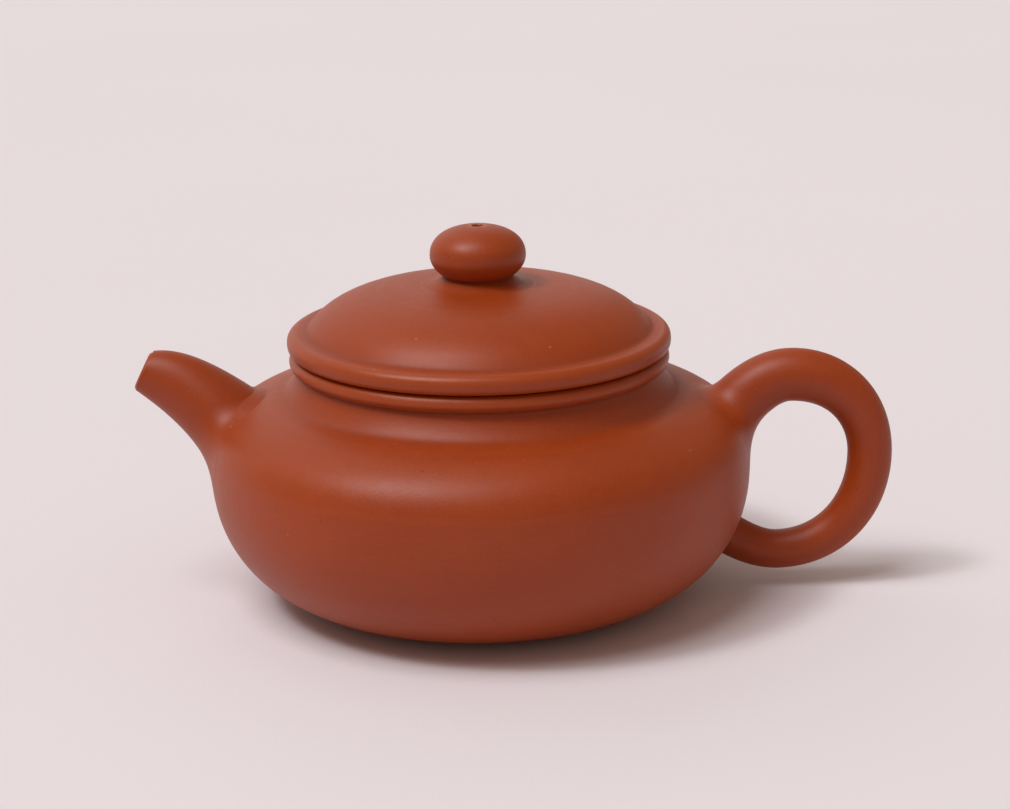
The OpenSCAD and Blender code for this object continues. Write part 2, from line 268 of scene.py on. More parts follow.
# Spacing and radius in millimetres, the share of cells that hold a grain, and a seed.
PALE_GRIT, DARK_GRIT = (2.6, 0.24, 0.045, 3.0), (1.3, 0.16, 0.10, 8.0)
DUST, PITS = (0.55, 0.10, 0.25, 11.0), (2.9, 0.28, 0.05, 5.0)
GRAIN_COLOUR = colour(0.62, 0.30, 0.15)


def clay(name, deep, warm, pale, dullness, turned_marks, coarse):
    """A fired clay skin. turned_marks is how strong the rings are, coarse how open the grain."""
    material, bench = new_finish(name)
    place = bench.node("ShaderNodeVectorMath", {"operation": "SCALE"},
                       {0: bench.node("ShaderNodeTexCoord", (), (), "Object"), "Scale": 1 / MM})
    edge = bench.node("ShaderNodeAttribute", {"attribute_name": "edge"}, (), "Fac")
    worn_edge_and_highlight, hollow = edge.at_least(0.0), (-edge).at_least(0.0)

    drift = cloud(bench, place, DRIFT_SIZE, 3.0)
    mottle = cloud(bench, place, MOTTLE_SIZE, 4.0, 0.6)
    fine = cloud(bench, place, FINE_SIZE, 3.0, 0.7)
    ring = rings(bench, place, RING_WIDTH) * turned_marks
    pale_grit, dark_grit, dust, pits = (grit(bench, place, *grains)
                                        for grains in (PALE_GRIT, DARK_GRIT, DUST, PITS))

    base = blend(bench, drift * 0.9 + mottle * 0.35 - 0.2, deep, warm)
    base = blend(bench, (fine - 0.5) * 0.5 + 0.12 + ring * 0.5, base, pale)
    # Painted highlight, partly wear: outward edges are made lighter.
    base = blend(bench, worn_edge_and_highlight * 0.30, base, pale)
    # Painted shade: hollows and creases are made darker.
    base = blend(bench, hollow * 0.55, base, darker(deep, 0.45))
    base = blend(bench, dark_grit * 0.35 + pits * 0.4, base, darker(deep, 0.4))
    base = blend(bench, pale_grit * 0.45 + dust * 0.12, base, GRAIN_COLOUR)
    rough = (dullness + (fine - 0.5) * 0.16 + (mottle - 0.5) * 0.12
             - worn_edge_and_highlight * 0.10 + hollow * 0.12 - ring * 0.1)
    height = (cloud(bench, place, UNEVEN_SIZE, 1.0) * 0.5 + ring * 0.035
              + (mottle * 0.035 + fine * 0.030) * coarse
              + pale_grit * 0.02 + dust * 0.006 - dark_grit * 0.01 - pits * 0.06)
    bump = bench.node("ShaderNodeBump", (), {"Height": height, "Strength": 1.0, "Distance": MM})
    skin = bench.node("ShaderNodeBsdfPrincipled", (),
                      {"Base Color": base, "Roughness": rough, "Normal": bump,
                       "Specular IOR Level": 0.38})
    bench.end("ShaderNodeOutputMaterial", "Surface", skin)
    return material


outer_clay = clay("rubbed_skin", colour(0.26, 0.028, 0.002), colour(0.35, 0.046, 0.003),
                  colour(0.43, 0.085, 0.013), 0.46, 0.35, 1.0)
inner_clay = clay("lining_skin", colour(0.24, 0.036, 0.010), colour(0.31, 0.052, 0.016),
                  colour(0.38, 0.09, 0.04), 0.72, 1.6, 1.8)
print("clay finishes:", outer_clay.name, "and", inner_clay.name,
      "with", len(outer_clay.node_tree.nodes), "nodes each")

# %% [markdown]
# ## Turning clay with Geometry Nodes
# The belly, the lid and the knob are all turned shapes: one outline, swept round an axis. A Screw
# modifier would do it, but a Geometry Nodes tree can also hand two facts from the outline to the
# surface: where the clay bends sharply (edge) and where it is inside the pot (inside). The tree
# lays a flat grid with one row for each outline point and one column for each side, and bends it
# round by sine and cosine.

# %% The turning tree
def new_tree(name, **inputs):
    """The bench of an empty tree with these inputs, and the wire of the first one."""
    tree = bpy.data.node_groups.new(name, "GeometryNodeTree")
    tree.interface.new_socket("Geometry", in_out="OUTPUT", socket_type="NodeSocketGeometry")
    for label, kind in inputs.items():
        tree.interface.new_socket(label.replace("_", " "), in_out="INPUT",
                                  socket_type="NodeSocket" + kind)
    bench = Bench(tree)
    return bench, bench.node("NodeGroupInput")


def turning_tree():
    bench, outline = new_tree("Turned clay", Outline="Geometry", Sides="Int",
                              Outline_Points="Int", Outer_Clay="Material", Inner_Clay="Material")
    sides, count = also(outline, "Sides"), also(outline, "Outline Points")

    grid = bench.node("GeometryNodeMeshGrid", (), {"Vertices X": sides + 1, "Vertices Y": count})
    index = bench.node("GeometryNodeInputIndex")
    row = index.maths("MODULO", index, count)
    column = ((index + 0.5) / count).of("FLOOR")

    def from_outline(kind, value):
        return bench.node("GeometryNodeSampleIndex", {"data_type": kind, "domain": "POINT"},
                          {"Geometry": outline, "Value": value, "Index": row})

    def named(name):
        return bench.node("GeometryNodeInputNamedAttribute", {"data_type": "FLOAT"},
                          {"Name": name})

    point = from_outline("FLOAT_VECTOR", bench.node("GeometryNodeInputPosition"))
    radius = bench.node("ShaderNodeSeparateXYZ", (), {0: point}, "X")
    turn = column * (2 * pi) / sides
    bent = bench.node("ShaderNodeCombineXYZ", (), {"X": turn.of("COSINE") * radius,
                                                   "Y": turn.of("SINE") * radius,
                                                   "Z": also(radius, "Z")})

    shape = bench.node("GeometryNodeSetPosition", (), {"Geometry": grid, "Position": bent})
    for name in ("edge", "inside"):
        shape = bench.node("GeometryNodeStoreNamedAttribute",
                           {"data_type": "FLOAT", "domain": "POINT"},
                           {"Geometry": shape, "Name": name,
                            "Value": from_outline("FLOAT", named(name))})
    shape = bench.node("GeometryNodeMergeByDistance", (), {"Geometry": shape, "Distance": 1e-6})
    shape = bench.node("GeometryNodeRealizeInstances", (), {"Geometry": shape})
    shape = bench.node("GeometryNodeSetMaterial", (),
                       {"Geometry": shape, "Material": also(outline, "Outer Clay")})
    shape = bench.node("GeometryNodeSetMaterial", (),
                       {"Geometry": shape, "Selection": named("inside").above(0.5),
                        "Material": also(outline, "Inner Clay")})
    bench.end("NodeGroupOutput", "Geometry", shape)
    return bench.tree


TURNED = turning_tree()
print("turning tree nodes:", len(TURNED.nodes))

# %% [markdown]
# ## Wiping an outline
# An outline is a row of (radius, height) points, drawn as a potter's template is cut: straight
# runs, arcs and full curves. The raw outline has sharp corners, and real clay has none, because
# every edge is wiped with a strip of wet leather. A bevel would round each edge alike. Wiping is
# done to the numbers instead: the outline is cut into very short steps and blurred along its
# length, so that a sharp corner goes round and a soft one hardly changes.

# %% Drawing and wiping
def arc(centre_r, centre_z, radius, start, stop, steps=24):
    turns = np.radians(np.linspace(start, stop, steps))
    return [(centre_r + radius * cos(t), centre_z + radius * sin(t)) for t in turns]


def in_short_steps(points, step):
    points = np.array(points, float)
    reach = np.hypot(*np.diff(points, axis=0).T)
    points = points[np.r_[True, reach > 1e-6]]
    along = np.r_[0, np.cumsum(np.hypot(*np.diff(points, axis=0).T))]
    stops = np.linspace(0, along[-1], int(along[-1] / step) + 1)
    return np.c_[np.interp(stops, along, points[:, 0]), np.interp(stops, along, points[:, 1])]


def wiped(points, softness, closed=False, step=0.04):
    """The outline with its corners rounded by about twice this softness."""
    short = in_short_steps(points, step)
    spread = int(4 * softness / step)
    weight = np.exp(-0.5 * (np.arange(-spread, spread + 1) * step / softness) ** 2)
    weight /= weight.sum()
    if closed:
        ring = short[:-1]
        padded = np.concatenate([ring[-spread:], ring, ring[:spread]])
    else:
        padded = np.concatenate([2 * short[0] - short[spread:0:-1], short,
                                 2 * short[-1] - short[-2:-spread - 2:-1]])
    soft = np.c_[np.convolve(padded[:, 0], weight, "valid"),
                 np.convolve(padded[:, 1], weight, "valid")]
    return np.concatenate([soft, soft[:1]]) if closed else soft


corner = wiped([(0, 0), (5, 0), (5, 5)], 0.3)
print(f"a 0.3 mm wipe takes {np.hypot(*(corner - [5, 0]).T).min():.2f} mm off a square corner")

# %% [markdown]
# ## Thinning an outline and finding its bends
# A wiped outline has thousands of points, most of them on runs that are nearly straight. A point
# is kept wherever the outline has bent by some degrees or has run on for a while, so that the
# mesh is fine only where it curves. How sharply the outline bends at each kept point is what the
# clay looks for to paint edges lighter, partly as wear and partly as a painted highlight, and
# hollows darker, as painted shade.

# %% Thinning and bends
def thinned(points, bend=5.0, longest=1.6):
    way = np.unwrap(np.arctan2(*np.diff(points, axis=0).T[::-1]))
    run = np.hypot(*np.diff(points, axis=0).T)
    kept, bent, gone = [0], 0.0, 0.0
    for i in range(1, len(points) - 1):
        bent += abs(way[i] - way[i - 1])
        gone += run[i]
        if bent > radians(bend) or gone > longest:
            kept.append(i)
            bent = gone = 0.0
    return kept + [len(points) - 1]


def bend_at(points, reach):
    """How sharply an outline bends, per millimetre, positive on outward edges."""
    way = np.unwrap(np.arctan2(*np.gradient(points, axis=0).T[::-1]))
    run = np.hypot(*np.gradient(points, axis=0).T)
    bend = np.gradient(way) / np.maximum(run, 1e-9)
    window = np.ones(reach) / reach
    return np.convolve(np.pad(bend, reach, mode="edge"), window, "same")[reach:-reach]


print("points kept on a wiped square corner:", len(thinned(corner)), "of", len(corner))

# %% [markdown]
# ## From outline to piece
# The outline goes into the turning tree as a mesh of edges that carries its two values. What the
# tree gives back is kept as a plain mesh, because the finished piece should need no modifier.
# Each piece is then tidied: doubled points are merged, the faces are turned outward, and the
# number of open edges is counted, which has to be none.

# %% Turning an outline into a piece
DOUBLED, SLIVER, SHARP_ANGLE, SHARPEST_BEND = 1e-7, 1e-8, radians(38), 1.2


def plain_mesh(name, source):
    """The finished result of an object's modifiers as a mesh object with none."""
    seen = source.evaluated_get(bpy.context.evaluated_depsgraph_get())
    piece = placed(name, bpy.data.meshes.new_from_object(seen))
    bpy.data.objects.remove(source)
    return piece


def closed_and_outward(piece):
    work = bmesh.new()
    work.from_mesh(piece.data)
    bmesh.ops.remove_doubles(work, verts=work.verts, dist=DOUBLED)
    bmesh.ops.dissolve_degenerate(work, edges=work.edges, dist=SLIVER)
    bmesh.ops.recalc_face_normals(work, faces=work.faces)
    if work.calc_volume(signed=True) < 0:
        bmesh.ops.reverse_faces(work, faces=work.faces)
    open_edges = sum(1 for e in work.edges if not e.is_manifold)
    work.to_mesh(piece.data)
    work.free()
    piece.data.polygons.foreach_set("use_smooth", [True] * len(piece.data.polygons))
    piece.data.set_sharp_from_angle(angle=SHARP_ANGLE)
    size = [round(d / MM, 1) for d in piece.dimensions]
    print(f"{piece.name}: {len(piece.data.polygons)} faces, {open_edges} open edges, {size} mm")
    return piece


def set_inputs(modifier, **values):
    """Sets the named inputs of a Geometry Nodes modifier, with _ for each space."""
    sockets = modifier.node_group.interface.items_tree
    for name, value in values.items():
        modifier[sockets[name.replace("_", " ")].identifier] = value


def turned(name, outline, softness, sides, closed=False, inside=None, reach=12):
    """One turned piece. inside says which outline points lie inside the pot."""
    soft = wiped(outline, softness, closed)
    kept = thinned(soft)
    points = soft[kept]
    mesh = bpy.data.meshes.new(name)
    mesh.from_pydata([(r * MM, 0, z * MM) for r, z in points],
                     [(i, i + 1) for i in range(len(points) - 1)], [])
    edge = np.clip(bend_at(soft, reach)[kept] / SHARPEST_BEND, -1, 1)
    hidden = [float(inside(r, z)) if inside else 0.0 for r, z in points]
    for label, values in (("edge", edge), ("inside", hidden)):
        mesh.attributes.new(label, "FLOAT", "POINT").data.foreach_set("value", values)
    blank = placed(name + "_outline", mesh)
    wheel = blank.modifiers.new("wheel", "NODES")
    wheel.node_group = TURNED
    set_inputs(wheel, Sides=sides, Outline_Points=len(points), Outer_Clay=outer_clay,
               Inner_Clay=inner_clay)
    return closed_and_outward(plain_mesh(name, blank))


print("ready to turn: belly, lid, knob and strainer")

# %% [markdown]
# ## The belly
# The foot and the shoulder of the real belly are both fuller than an ellipse, as the paddle
# flattens the top and the base while it swells the middle. A spline would need many points that
# mean nothing. A power of sine and cosine gives one number for how full each half is, 2 being a
# plain ellipse.

# %% The belly's curve
LOW_FULLNESS, TOP_FULLNESS = 2.17, 3.0


def belly_point(angle, inset=0.0):
    """A place on the belly, -90 at the foot, 0 at the widest ring, rising to the mouth."""
    t = radians(abs(angle))
    full, run, rise, root = ((LOW_FULLNESS, belly_r - foot_r, -belly_z, foot_r) if angle < 0 else
                             (TOP_FULLNESS, shoulder_run, shoulder_z - belly_z,
                              belly_r - shoulder_run))
    r = root + run * cos(t) ** (2 / full)
    z = belly_z + rise * sin(t) ** (2 / full)
    out = Vector((cos(t) ** (2 - 2 / full) / run, sin(t) ** (2 - 2 / full) / rise))
    out.normalize()
    return r - inset * out.x, z - inset * out.y


def shoulder_angle(r):
    """The angle at which the shoulder reaches this radius."""
    across = (r - belly_r + shoulder_run) / shoulder_run
    return degrees(acos(across ** (TOP_FULLNESS / 2)))


NECK_IN, NECK_FLARE = 1.6, 3.3
neck_r = lip_r - NECK_IN
rising = np.linspace(0, shoulder_angle(neck_r + NECK_FLARE), 90)
belly_skin = [belly_point(a) for a in (*np.linspace(-90, 0, 90), *rising[1:])]
print(f"belly: {len(belly_skin)} points, neck {2 * neck_r:.1f} mm wide")

# %% [markdown]
# ## The neck
# The neck is a coil pressed onto the shoulder and thumbed outward, so it has no upright part: it
# spreads from under the lip almost like a cone and melts into the shoulder. A hollow curve just
# short of a straight line does that. It is wiped together with the shoulder, more softly than the
# rest, and that soft place is what draws the pale line of light round the real pot.

# %% The neck's flare
NECK_HOLLOW, NECK_SOFTNESS, SHOULDER_IN = 1.3, 0.7, 4.0
flare_z = belly_skin[-1][1]
flare_h = lip_bottom - flare_z
flare = [(neck_r + NECK_FLARE * (1 - cos(t) ** (2 / NECK_HOLLOW)),
          flare_z + flare_h * (1 - sin(t) ** (2 / NECK_HOLLOW)))
         for t in np.linspace(pi / 2, 0.02, 40)]
soft_from = next(i for i, (r, z) in enumerate(belly_skin)
                 if z > belly_z and r < belly_r - SHOULDER_IN)
neck_skin = [tuple(p) for p in wiped(belly_skin[soft_from:] + flare, NECK_SOFTNESS)]
print(f"neck flare {NECK_FLARE:.1f} mm wide and {flare_h:.1f} mm high")

# %% [markdown]
# ## The pot in one outline
# On the real pot the base, the belt, the shoulder, the neck and the lip are separate slabs, but
# they are pressed together while wet and the seams are scraped away, so what shows is one skin.
# Five meshes would show four seams. One outline runs from the middle of the hollow underside, out
# over the foot ring, up the belly, over the shoulder, up the neck, round the lip and back down
# inside.

# %% Turn the pot
BASE_HOLLOW, LAND = 1.2, 4.0
land_in = foot_r - LAND
dish_r = (land_in ** 2 + BASE_HOLLOW ** 2) / (2 * BASE_HOLLOW)
dish = [(r, BASE_HOLLOW - dish_r + sqrt(dish_r ** 2 - r ** 2))
        for r in np.linspace(0, land_in, 24)]
lip_h = lip_top - lip_bottom
lip_round = arc(lip_r - lip_h / 2, (lip_bottom + lip_top) / 2, lip_h / 2, -90, 90)
inner_skin = [belly_point(a, wall) for a in np.linspace(shoulder_angle(mouth_r), 0, 60)]
inner_skin += [belly_point(a, wall) for a in np.linspace(-1, -82, 80)]
pot_outline = (dish + [(foot_r, 0.0)] + belly_skin[:soft_from] + neck_skin + lip_round
               + [(mouth_r, lip_top), (mouth_r, inner_skin[0][1])] + inner_skin
               + [(0.0, wall + BASE_HOLLOW)])


def in_the_pot(r, z):
    """Whether an outline point is on the lining and not on the skin or the lip."""
    from_skin = min(hypot(r - a, z - b) for a, b in belly_skin + flare)
    return from_skin > 0.6 * wall and z > 0.7 * wall and (r < mouth_r + 0.4 or z < lip_bottom - 4)


pot_uncut = turned("pot_uncut", pot_outline, 0.22, 256, inside=in_the_pot)

# %% [markdown]
# ## The pouring hole
# Behind the spout the potter cuts a round hole through the belly. A Boolean modifier with one
# short round cutter is the simplest way to cut it, and its result is kept at once, so that the
# piece stays a plain mesh. The cutter points along the belly's own slope at that height.

# %% Cut the pouring hole
HOLE_ANGLE, HOLE_R = 16.0, 6.0


def at_pouring_hole():
    """The place and slope of the hole, with the local Z axis pointing out of the pot."""
    r, z = belly_point(HOLE_ANGLE)
    inner_r, inner_z = belly_point(HOLE_ANGLE, 1.0)
    way = Vector((inner_r - r, 0, z - inner_z)).to_track_quat("Z", "Y")
    return Matrix.Translation(Vector((-r, 0, z)) * MM) @ way.to_matrix().to_4x4()


def mesh_of(name, work):
    """Puts worked geometry into a mesh and frees the workbench."""
    mesh = bpy.data.meshes.new(name)
    work.to_mesh(mesh)
    work.free()
    return mesh


work = bmesh.new()
bmesh.ops.create_cone(work, cap_ends=True, segments=64, radius1=HOLE_R * MM, radius2=HOLE_R * MM,
                      depth=4 * wall * MM, matrix=at_pouring_hole())
cutter = placed("hole_cutter", mesh_of("hole_cutter", work))
cut = pot_uncut.modifiers.new("cut", "BOOLEAN")
cut.operation, cut.solver, cut.object = "DIFFERENCE", "EXACT", cutter
pot_body = closed_and_outward(plain_mesh("pot_body", pot_uncut))
bpy.data.objects.remove(cutter)
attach(pot_body, "pot")
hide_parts("base_disc", "belly_wall", "shoulder_disc", "neck_ring", "mouth_lip")

# %% [markdown]
# ## The crown and rim of the lid
# The dome is flat on top and drops away towards a shallow groove, which a different power on each
# axis gives. Beyond the groove stands a rounded band, the rim, flatter underneath than on top. On
# the real lid dome and groove are wiped in one stroke with a thumb, so here too they are wiped
# together and far more softly than the rim's outer face.

# %% The crown's curve
DOME_FLATNESS, DOME_EDGE = 3.4, 1.5
RIM_DEPTH, RIM_TOP_FULLNESS, RIM_LOW_FULLNESS, GROOVE_SOFTNESS = 3.0, 2.4, 3.6, 1.2
dome_h = dome_top - groove_z


def dome_height(r):
    return groove_z + dome_h * (1 - (r / groove_r) ** DOME_FLATNESS) ** (1 / DOME_EDGE)


def dome_curve(inset):
    """The dome from the vent outward, or its hollow underside with an inset."""
    curve = [((groove_r - inset) * sin(t) ** (2 / DOME_FLATNESS),
              groove_z + (dome_h - inset) * cos(t) ** (2 / DOME_EDGE))
             for t in np.linspace(0, pi / 2, 160)]
    kept = [p for p in curve if p[0] > vent_r]
    return [(vent_r, kept[0][1])] + kept


def rim_point(angle):
    """A place on the rim's band, 90 on top, 0 at the outside, -90 underneath."""
    t = radians(angle)
    full = RIM_TOP_FULLNESS if angle > 0 else RIM_LOW_FULLNESS
    rise = (rim_top - rim_bottom) / 2 * abs(sin(t)) ** (2 / full)
    return (rim_r - RIM_DEPTH + RIM_DEPTH * cos(t) ** (2 / full),
            (rim_bottom + rim_top) / 2 + copysign(rise, t))


crown = wiped(dome_curve(0) + [rim_point(a) for a in np.linspace(89.9, 60, 24)], GROOVE_SOFTNESS)
print(f"crown: {len(crown)} points, from {crown[0][1]:.1f} mm down to {crown[:, 1].min():.1f} mm")

# %% [markdown]
# ## The lid
# Under the rim an upright flange drops into the mouth and keeps the lid from sliding off. The
# vent leaves a hole in the middle, so the outline is a closed loop, and turning it gives a
# ring-like solid with no poles to close. It is drawn from the crown outward and round underneath,
# and then read backwards, so that outward edges count as edges and not as hollows.

# %% Turn the lid
DOME_WALL, FLANGE_WALL, DOME_FOOT = 2.8, 2.6, 1.5
flange_in = flange_r - FLANGE_WALL
lid_outline = ([tuple(p) for p in crown] + [rim_point(a) for a in np.linspace(58, -89.9, 50)]
               + [(flange_r, rim_bottom), (flange_r, flange_low), (flange_in, flange_low),
                  (flange_in, groove_z - DOME_FOOT)] + dome_curve(DOME_WALL)[::-1])
lid_outline.append(lid_outline[0])


def under_the_lid(r, z):
    """Whether an outline point is on the hidden underside or the flange."""
    return r < flange_r + 0.1 and z < (dome_height(r) - 0.8 if r < groove_r else 0)


lid_cover = turned("lid_cover", lid_outline[::-1], 0.30, 224, closed=True, inside=under_the_lid)
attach(lid_cover, "lid")
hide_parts("lid_dome", "lid_rim", "lid_flange")

# %% [markdown]
# ## The knob and its collar
# The knob is a flattened ball pressed onto the crown of the lid with a little slip, and the slip
# is drawn out into a low collar that ends in a faint step. The ball is a shade fuller above than
# below, where the fingers have undercut it. The vent runs down through all of it. One closed
# outline makes both, because no line shows between them.

# %% Turn the knob
KNOB_TOP_FULLNESS, KNOB_LOW_FULLNESS, KNOB_CUT = 2.27, 1.95, 4.1
COLLAR_STEP, COLLAR_HOLLOW, PLUG_DEPTH = 0.03, 2.0, 2.0
VENT_BEVEL, VENT_EDGE = 0.12, 0.3
# How far past the collar and how deep under the dome the clay goes on, out of sight.
BURIED = ((0.9, 0.8), (0.7, 0.05))
knob_z = knob_seat + KNOB_CUT
knob_half_h = knob_top - knob_z


def ball_point(angle):
    t = radians(angle)
    full = KNOB_TOP_FULLNESS if angle > 0 else KNOB_LOW_FULLNESS
    rise = knob_half_h * abs(sin(t)) ** (2 / full)
    return knob_r * cos(t) ** (2 / full), knob_z + copysign(rise, t)


ball = [ball_point(a) for a in np.linspace(-80, 89.5, 200)]
ball = [(r, z) for r, z in ball if z > knob_seat and r > vent_r + VENT_EDGE]
neck = ball[0][0]
rise = knob_seat - dome_height(neck)
collar = [(r, dome_height(r) + COLLAR_STEP
           + rise * ((collar_r - r) / (collar_r - neck)) ** COLLAR_HOLLOW)
          for r in np.linspace(collar_r, neck, 50)]
buried = [(collar_r + past, dome_height(collar_r + past) - depth) for past, depth in BURIED]
knob_outline = ([(vent_r, knob_seat - PLUG_DEPTH)] + buried + collar + ball
                + [(vent_r + VENT_BEVEL, ball[-1][1]), (vent_r, knob_top - VENT_EDGE)])
knob_outline.append(knob_outline[0])


def in_the_vent(r, z):
    return r < vent_r + 0.05


# The wider reach spreads the painted shade of the hollows under the ball and round its collar.
lid_knob = turned("lid_knob", knob_outline, 0.12, 128, closed=True, inside=in_the_vent, reach=24)
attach(lid_knob, "lid")
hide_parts("knob", "knob_collar")

# %% [markdown]
# ## Piercing the strainer
# Inside the belly a small pierced thimble of clay plugs the pouring hole and keeps the leaves out
# of the spout. Its holes are a pattern: one in the middle and rings of six and twelve round it,
# each pricked square to the round end. Nineteen Boolean modifiers would be tedious. Geometry
# Nodes place a cutter on each spot of the pattern, worked out from its number, and take all of
# them away from the thimble at once.

# %% The piercing tree
def piercing_tree():
    bench, thimble = new_tree("Pierced clay", Thimble="Geometry", Ball_Radius="Float",
                              Hole_Radius="Float", Ring_Angle="Float", Clay="Material")
    ball_radius, hole_radius = also(thimble, "Ball Radius"), also(thimble, "Hole Radius")

    index = bench.node("GeometryNodeInputIndex")
    ring = index.above(0.5) + index.above(6.5)
    spin = (index - 1) * (pi / 3) * (2 - ring) + (index - 7) * (pi / 6) * (ring - 1)
    lean = ring * also(thimble, "Ring Angle")
    side = lean.of("SINE") * ball_radius
    spot = bench.node("ShaderNodeCombineXYZ", (), {"X": spin.of("COSINE") * side,
                                                   "Y": spin.of("SINE") * side,
                                                   "Z": -(lean.of("COSINE") * ball_radius)})
    spots = bench.node("GeometryNodePoints", (), {"Count": 19, "Position": spot, "Radius": 0.001})
    facing = bench.node("FunctionNodeAlignRotationToVector", {"axis": "Z"}, {"Vector": spot})
    cutter = bench.node("GeometryNodeMeshCylinder", {"fill_type": "NGON"},
                        {"Vertices": 20, "Radius": hole_radius, "Depth": ball_radius})
    cutters = bench.node("GeometryNodeInstanceOnPoints", (),
                         {"Points": spots, "Instance": cutter, "Rotation": facing})
    cutters = bench.node("GeometryNodeRealizeInstances", (), {"Geometry": cutters})
    shape = bench.node("GeometryNodeMeshBoolean", {"operation": "DIFFERENCE", "solver": "EXACT"},
                       {"Mesh 1": thimble, "Mesh 2": cutters})
    shape = bench.node("GeometryNodeRealizeInstances", (), {"Geometry": shape})
    shape = bench.node("GeometryNodeSetMaterial", (),
                       {"Geometry": shape, "Material": also(thimble, "Clay")})
    bench.end("NodeGroupOutput", "Geometry", shape)
    return bench.tree


PIERCED = piercing_tree()
print("piercing tree nodes:", len(PIERCED.nodes))

# %% [markdown]
# ## The strainer
# The thimble is turned like everything else: a round end, a short straight tube and an open mouth
# that is set back from the belly's face. It is pierced standing upright round its own axis, where
# the pattern is simple, and only then put into the pouring hole.

# %% Turn, pierce and seat the strainer
STRAINER_WALL, STRAINER_SETBACK, STRAINER_REACH = 1.4, 1.3, 1.5
STRAINER_HOLE_R, STRAINER_PITCH, STRAINER_FIT = 0.8, radians(27), 0.03
plug_r, ball_z = HOLE_R - STRAINER_FIT, -(wall + STRAINER_REACH)
thimble_outline = ([(0.0, ball_z - plug_r)] + arc(0, ball_z, plug_r, -88, 0, 40)
                   + [(plug_r, -STRAINER_SETBACK), (plug_r - STRAINER_WALL, -STRAINER_SETBACK)]
                   + arc(0, ball_z, plug_r - STRAINER_WALL, 0, -88, 40)
                   + [(0.0, ball_z - plug_r + STRAINER_WALL)])
thimble = turned("thimble", thimble_outline, 0.08, 96)
thimble.data.transform(Matrix.Translation((0, 0, -ball_z * MM)))
pierce = thimble.modifiers.new("pierce", "NODES")
pierce.node_group = PIERCED
set_inputs(pierce, Ball_Radius=(plug_r - STRAINER_WALL / 2) * MM, Clay=inner_clay,
           Hole_Radius=STRAINER_HOLE_R * MM, Ring_Angle=STRAINER_PITCH)
strainer = plain_mesh("strainer_thimble", thimble)
strainer.data.transform(at_pouring_hole() @ Matrix.Translation((0, 0, ball_z * MM)))
closed_and_outward(strainer)
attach(strainer, "pot")
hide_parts("spout_strainer")

# %% [markdown]
# ## Finding the belly
# The spout and the handle are rolled by themselves and luted onto the belly, and the potter draws
# their roots out until they melt into it. So the roots have to know where the belly is. For any
# point, the nearest place on the belly's curve is looked up in the plane of the axis and spun
# back round, which is exact enough and needs no ray casting.

# %% Curves, and the nearest place on the belly
def bezier(points, t):
    """Places on a cubic curve, one row for each value of t."""
    a, b, c, d = (np.array(p, float) for p in points)
    t = np.asarray(t, float)[..., None]
    return (1 - t) ** 3 * a + 3 * t * (1 - t) ** 2 * b + 3 * t * t * (1 - t) * c + t ** 3 * d


def unit(v):
    return v / np.maximum(np.linalg.norm(v, axis=-1, keepdims=True), 1e-12)


skin_line = in_short_steps(belly_skin, 0.1)
skin_way = unit(np.gradient(skin_line, axis=0))


def on_belly(points):
    """The nearest place on the belly, the way out of it there, and the height above it."""
    reach = np.hypot(points[:, 0], points[:, 1])
    flat = np.c_[reach, points[:, 2]]
    nearest = np.argmin(((flat[:, None] - skin_line[None]) ** 2).sum(2), axis=1)
    way, foot = skin_way[nearest], skin_line[nearest]
    foot = foot + way * ((flat - foot) * way).sum(1, keepdims=True)
    out = np.c_[way[:, 1], -way[:, 0]]
    round_way = points[:, :2] / reach[:, None]
    height = ((flat - foot) * out).sum(1)
    return (np.c_[round_way * foot[:, :1], foot[:, 1]], np.c_[round_way * out[:, :1], out[:, 1]],
            height)


test = np.array([[-(belly_r + 5), 0, belly_z]])
print(f"a point 5 mm off the belly measures {on_belly(test)[2][0]:.3f} mm")

# %% [markdown]
# ## Leading lines onto the belly
# Spout and handle are bundles of lines that run towards the belly. Each line is stopped a little
# short of it and led on by a curve that leaves along the line and arrives flat on the belly, and
# the last points are tucked just under the skin. That gives a root with no crease. A voxel remesh
# or a bevelled Boolean would also round the crisp lip of the spout, and this leaves it alone.

# %% Soft roots
LEAVING, ARRIVING, LIFTED = 0.80, 0.66, 0.02
TUCKS = ((0.4, 0.03), (0.9, 0.15), (1.2, 0.7))


def cut_short(line, heights, short_by):
    """A line that stops short of the belly, and the place where it would have met it."""
    along = np.r_[0, np.cumsum(np.linalg.norm(np.diff(line, axis=0), axis=1))]
    under = int(np.argmax(heights < 0))
    meets = np.interp(0, -heights[under - 1:under + 1], along[under - 1:under + 1])
    places = np.r_[np.linspace(0, 1, len(line)) ** 0.9 * (meets - short_by), meets]
    cut = np.array([np.interp(places, along, line[:, k]) for k in range(3)]).T
    return cut[:-1], cut[-1]


